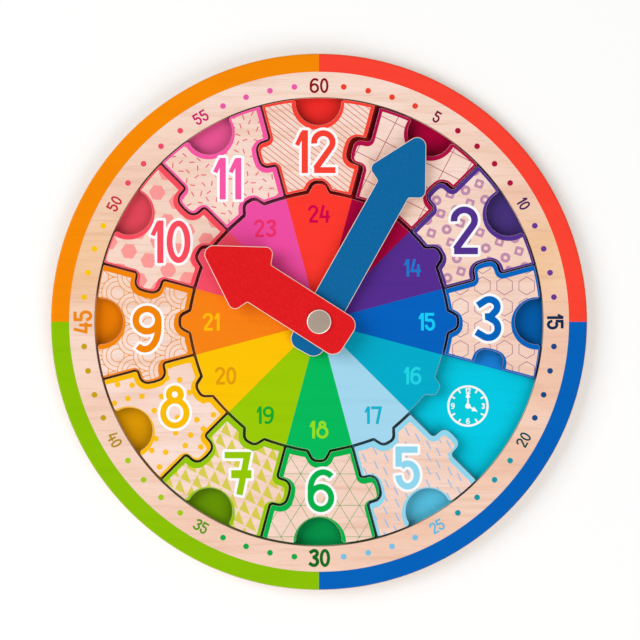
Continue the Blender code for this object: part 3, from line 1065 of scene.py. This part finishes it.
def tiles(middle):
    """Solid hexagons on a slanted lattice."""
    radius, turn = 0.0046, -5
    places = slant_lattice((-0.0953, 0.0342), pattern_pitch, pattern_slant, middle)
    return [("hexagon_coral", stamped(regular(radius, 6, turn), places))]


def confetti(middle):
    """Short dashes that point every way, each turned a golden angle on from the one before."""
    pitch, slant, opening, push, long, wide = 0.0051, 12, 66, 0.0007, 0.0028, 0.00066
    places = slant_lattice((-0.050, 0.080), pitch, slant, middle, opening)
    turns = np.arange(len(places)) * math.radians(137.5)
    return [("dash_pink", stamped(bar(long, wide), scattered(places, push, 2.4, 4.1), turns))]


# What each piece shows: its pattern, and its number's height and place
pattern_middle_radius = 0.098
piece_prints = {
    12: (stripes, 0.0240, (-0.0021, 0.0951)),
    1: (squares, 0.0240, (0.0478, 0.0827)),
    2: (hoops_and_blocks, 0.0267, (0.0812, 0.0511)),
    3: (cells, 0.0251, (0.0942, 0.0018)),
    5: (rain, 0.0240, (0.0498, -0.0817)),
    6: (trellis, 0.0240, (0.0010, -0.0944)),
    7: (small_triangles, 0.0240, (-0.0456, -0.0847)),
    8: (round_spots, 0.0241, (-0.0806, -0.0476)),
    9: (waves, 0.0262, (-0.0961, -0.0041)),
    10: (tiles, 0.0238, (-0.0830, 0.0447)),
    11: (confetti, 0.0232, (-0.0513, 0.0800)),
}
# The minute numbers' heights and stroke widths, as shares of the heights: the quarters' are larger
small_minute_number = (0.0065, 0.15)
quarter_minute_numbers = {0: (0.0083, 0.15), 3: (0.0091, 0.165), 6: (0.0097, 0.180), 9: (0.0102, 0.165)}
first_upside_down, last_upside_down = 4, 8


def wedges(radius, kind):
    """One triangle for each hour, from the middle out to a radius, each centred on its hour."""
    half = hour_angle / 2
    layers = []
    for hour, name in enumerate(hour_names):
        ends = [on_dial(radius, hour * hour_angle + side) for side in (half, -half)]
        layers.append((inks[f"{kind}_{name}"], [np.array([(0, 0), *ends])]))
    return layers


def pictogram():
    """A small clock face at four o'clock: a rim, ticks, four numbers and two arrows."""
    centre, radius, paint = pictogram_middle, pictogram_radius, inks["white"]
    rim, tick_inset, tick_long, tick_wide = 0.0012, 0.0022, 0.0021, 0.0009
    number_inset, number_height, number_share = 0.0031, 0.0031, 0.20
    long_hand, short_hand, hub, shaft_wide = 0.0066, 0.0049, 0.0015, 0.0009
    barb, head_back, head_front = 0.0014, 0.0018, 0.0014
    layers = [
        (paint, [circle(radius, 96, centre)]),
        (inks["light_cyan"], [circle(radius - rim, 96, centre)]),
    ]
    angles = [hour * hour_angle for hour in range(hours_on_dial) if hour % 3]
    places = np.array([centre + on_dial(radius - tick_inset, angle) for angle in angles])
    layers.append((paint, stamped(bar(tick_wide, tick_long), places, -np.array(angles))))
    for text, angle in (("12", 0), ("3", 90), ("6", 180), ("9", 270)):
        place = centre + on_dial(radius - number_inset, math.radians(angle))
        layers.append((paint, drawn(numeral(text, number_height, place, share=number_share))))
    head = np.array([(-barb, -head_back), (barb, -head_back), (0, head_front)])
    for length, angle in ((long_hand, 0.0), (short_hand, 4 * hour_angle)):
        tip = centre + on_dial(length, angle)
        shaft = stroke(np.array([centre, tip]), shaft_wide)
        layers += [(paint, [turned(head, angle) + tip]), (paint, shaft)]
    layers.append((paint, [circle(hub, 32, centre)]))
    return layers


def make_back_board():
    """The board with its bore and rear pocket, and the coloured floor that is printed on it."""
    pocket_high = board_low + rear_pocket_depth
    profile = rounded(
        [
            (bore_radius, board_high, 0),
            (clock_radius, board_high, board_brow_round),
            (clock_radius, board_low, board_edge_round),
            (rear_pocket_radius, board_low, rear_pocket_round),
            (rear_pocket_radius, pocket_high, 0),
            (bore_radius, pocket_high, 0),
        ]
    )
    turning("back_board_wood", profile, [board_wood])
    layers = wedges(floor_colour_radius, "floor") + pictogram() + [(None, [circle(floor_bare_radius)])]
    reach = circle(ring_inner_radius - floor_print_inset)
    film("back_board_print", layers, reach, board_high, "root")


def rim_slots(profile, angles):
    """The ring's slots: its wood, the quarter's paint down its outer round, and its darkened inner wall,
    partly burn and partly painted seam shade.
    """
    along = (profile + np.roll(profile, -1, axis=0)) / 2
    floor = ring_high - rim_paint_down_share * ring_edge_round
    painted = (along[:, 0] > clock_radius - ring_edge_round) & (along[:, 1] > floor)
    quarter = (np.arange(len(angles)) * 4 // len(angles)) + 1
    cut = along[:, 0] < ring_inner_radius + rounding_slack
    return (painted[:, None] * quarter + 5 * cut[:, None]).ravel()


def make_frame_ring():
    """The ring with its painted rim, and the minutes that are printed on its bare band."""
    profile = rounded(
        [
            (ring_inner_radius, ring_high, ring_brow_round),
            (clock_radius, ring_high, ring_edge_round),
            (clock_radius, board_high - glue_sink, 0),
            (ring_inner_radius, board_high - glue_sink, 0),
        ]
    )
    quarters = [inks[name] for name in ("rim_red", "rim_orange", "rim_green", "rim_blue")]
    looks = [ring_wood, *quarters, ring_cut_wood]
    turning("frame_ring_wood", profile, looks, slots_of=rim_slots)
    far = rim_colour_reach
    corner = np.array([(0, 0), (far, 0), (far, far), (0, far)])
    layers = [(paint, [turned(corner, -index * math.pi / 2)]) for index, paint in enumerate(quarters)]
    layers.append((None, [circle(rim_paint_radius)]))
    for minute in range(minutes_on_dial):
        step, rest = divmod(minute, 5)
        if rest:
            place = on_dial(minute_radius, minute * 2 * math.pi / minutes_on_dial)
            layers.append((inks[f"dot_{hour_names[step]}"], [circle(minute_dot_radius, dot_facets, place)]))
    for hour, name in enumerate(hour_names):
        angle = hour * hour_angle
        turn = angle + (math.pi if first_upside_down <= hour <= last_upside_down else 0)
        height, share = quarter_minute_numbers.get(hour, small_minute_number)
        text = str(5 * hour or minutes_on_dial)
        strokes = numeral(text, height, on_dial(minute_radius, angle), turn, share)
        layers.append((inks[f"minute_{name}"], drawn(strokes)))
    film("frame_ring_print", layers, circle(clock_radius - ring_edge_round), ring_high, "root")


def bare_bore():
    """The layer that keeps prints off the rivet's bore."""
    return None, [circle(bore_radius * bore_bare_share, bore_facets)]


def make_hour_disc():
    """The lobed disc, printed in twelve colours with the hours from thirteen to twenty-four."""
    outline = disc_outline()
    bore = circle(bore_radius, bore_facets)[::-1]
    low = board_high - glue_sink
    plate("hour_disc_wood", [outline, bore], low, disc_high, piece_wood, "root")
    layers = wedges(disc_colour_radius, "face")
    for hour, name in enumerate(hour_names):
        text = str(hours_on_dial + (hour or hours_on_dial))
        place = on_dial(disc_numeral_radius, hour * hour_angle)
        strokes = numeral(text, disc_numeral_height, place, share=disc_stroke_share)
        layers.append((inks[f"number_{name}"], drawn(strokes)))
    layers.append(bare_bore())
    reach = beside(outline, bare_edge, closed=True)
    film("hour_disc_print", layers, reach, disc_high, "root")


def make_pieces():
    """The loose pieces, each with its border, its pattern and its number in a white halo."""
    flat, printed_flat = piece_outline(), piece_outline(print_rim_over)
    for hour, (pattern, height, place) in piece_prints.items():
        name, slot = f"piece_{hour:02d}", f"piece_{hour:02d}_print"
        edge_ink = inks[f"edge_{hour_names[hour % hours_on_dial]}"]
        outline = laid(flat, hour)
        plate(f"{name}_wood", [outline], piece_low, piece_high, piece_wood, name)
        strokes = numeral(str(hour), height, np.array(place), crossed=hour == 7)
        pattern_layers = pattern(on_dial(pattern_middle_radius, hour * hour_angle))
        layers = [(inks.get(colour), shapes) for colour, shapes in pattern_layers]
        outward = turned(np.array([0, print_outward]), hour * hour_angle)
        printed = laid(printed_flat, hour) + (np.array(own_slips.get(hour, print_slip)) + outward)
        border = (len(layers), printed, border_wide)
        layers.append((edge_ink, []))
        layers.append((inks["white"], haloed(strokes, numeral_halo)))
        layers.append((edge_ink, drawn(strokes)))
        reach = beside(outline, bare_edge, closed=True)
        film(f"{name}_ink", layers, reach, piece_high, name, border)


def make_hands():
    """The long blue minute hand and the short red hour hand above it, of bleached plywood.

    The paint leaves the rounding of the upper edge bare, and that wood is bleached pale: partly bare wood,
    partly a painted highlight along the edge.
    """
    for kind, (*sizes, code) in hand_sizes.items():
        name, slot = f"{kind}_hand", f"{kind}_paint"
        low, high = heights[name]
        outline, bore = hand_outline(*sizes), circle(bore_radius, bore_facets)[::-1]
        # Bleached pale so the bare edge shows as a light line: partly bare wood, partly painted highlight
        wood = plywood(f"{name}_plywood", low, board_ply, bleached=0.7)
        plate(f"{name}_wood", [outline, bore], low, high, wood, name, hand_round)
        reach = beside(outline, hand_round, closed=True)
        layers = [(hand_paint(slot, code), [reach]), bare_bore()]
        film(f"{name}_paint", layers, reach, high, name)


def make_washers():
    """Flat washers with their edges broken: two of fibre by the hands, and a zinc one at the back."""
    fibre = pressed_fibre("washer_fibre")
    zinc = turned_steel("washer_zinc", "B4B2AE", 0.42)
    edge = washer_edge_round
    for name, look, slot in (
        ("lower_washer", fibre, "washer_fibre"),
        ("middle_washer", fibre, "washer_fibre"),
        ("rear_washer", zinc, "washer_steel"),
    ):
        low, high = heights[name]
        near, far = bore_radius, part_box(name)[1].x
        profile = rounded([(near, high, edge), (far, high, edge), (far, low, edge), (near, low, edge)])
        turning(f"{name}_ring", profile, [look], rivet_facets)


def make_rivet():
    """The rivet: a low domed head with a rolled edge, a shank, and a tail spread at the back."""
    low, high = heights["centre_rivet"]
    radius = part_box("centre_rivet")[1].x
    head_low = high - head_thick
    shoulder_share, shoulder_fall_share = 0.55, 0.3
    profile = rounded(
        [
            (head_dome, high, 0),
            (radius * shoulder_share, high - head_dome * shoulder_fall_share, 0),
            (radius, high - head_dome, head_edge_round),
            (radius, head_low, under_round),
            (shank_radius, head_low, 0),
            (shank_radius, low + upset_thick, 0),
            (upset_radius, low + upset_thick, under_round),
            (upset_radius, low, upset_edge_round),
            (head_dome, low, 0),
        ],
        closed=False,
    )
    steel = turned_steel("rivet_steel", "9C8E80", 0.36, radius)
    turning("centre_rivet_steel", profile, [steel], rivet_facets, closed=False)


def make_lights():
    """Soft light: a key from the left and a weaker one from below the dial."""
    size, height = 2.8, 2.75
    for name, x, y, power in (("left_key", -2.64, 0.88, 80.0), ("lower_key", 1.36, -2.12, 56.0)):
        lamp = bpy.data.lights.new(name, "AREA")
        lamp.size = size
        lamp.energy = power
        tilt = math.atan2(math.hypot(x, y), height)
        shown(name, lamp, (x, y, height)).rotation_euler = tilt, 0, math.atan2(y, x) + math.pi / 2


def background_ray(tree):
    """One where the camera, or a reflection or glass, looks at the background, and zero elsewhere."""
    rays = node(tree, "LightPath").outputs
    mirrored = maths(tree, "MAXIMUM", rays["Is Glossy Ray"], rays["Is Transmission Ray"])
    return maths(tree, "MAXIMUM", rays["Is Camera Ray"], mirrored)


def make_world():
    """A white surround, and the even light that it gives."""
    strength = 0.41
    world = bpy.data.worlds.new("studio")
    bpy.context.scene.world = world
    tree = emptied(world)
    lit = node(tree, "Background", {"Color": white, "Strength": strength})
    seen = node(tree, "Background", {"Color": white, "Strength": 1.0})
    both = node(tree, "MixShader", {0: background_ray(tree), 1: lit.outputs[0], 2: seen.outputs[0]})
    node(tree, "OutputWorld", {"Surface": both.outputs[0]})


def make_floor():
    """A pale plain floor that fades to white and keeps the clock's shadow."""
    reach, height, tone, glow_strength = 3.0, -0.0001, (0.888, 0.886, 0.882, 1), 0.13
    mesh = bpy.data.meshes.new("floor")
    mesh.from_pydata([(*corner, height) for corner in bar(2 * reach, 2 * reach)], [], [(0, 1, 2, 3)])
    made = bpy.data.materials.new("floor_white")
    tree = emptied(made)
    matt = node(tree, "BsdfDiffuse", {"Color": tone})
    glow = node(tree, "Emission", {"Color": white, "Strength": glow_strength})
    none = node(tree, "Emission", {"Color": (0, 0, 0, 1), "Strength": 0.0})
    lift = node(tree, "MixShader", {0: background_ray(tree), 1: none.outputs[0], 2: glow.outputs[0]})
    both = node(tree, "AddShader", {0: matt.outputs[0], 1: lift.outputs[0]})
    node(tree, "OutputMaterial", {"Surface": both.outputs[0]})
    mesh.materials.append(made)
    shown("floor", mesh)


def make_camera():
    """The camera: straight above the dial, with the frame's width set at the height of its face."""
    above, frame_width, sensor, aside, up = 2.60, 0.3577, 36.0, 0.00053, 0.0010
    camera = bpy.data.cameras.new("camera")
    camera.sensor_width = sensor
    camera.lens = sensor * above / frame_width
    bpy.context.scene.camera = shown("camera", camera, (aside, up, ring_high + above))


make_camera()
make_back_board()
make_frame_ring()
make_hour_disc()
make_pieces()
make_hands()
make_washers()
make_rivet()
make_lights()
make_world()
make_floor()
bpy.context.scene.view_settings.view_transform = "Standard"
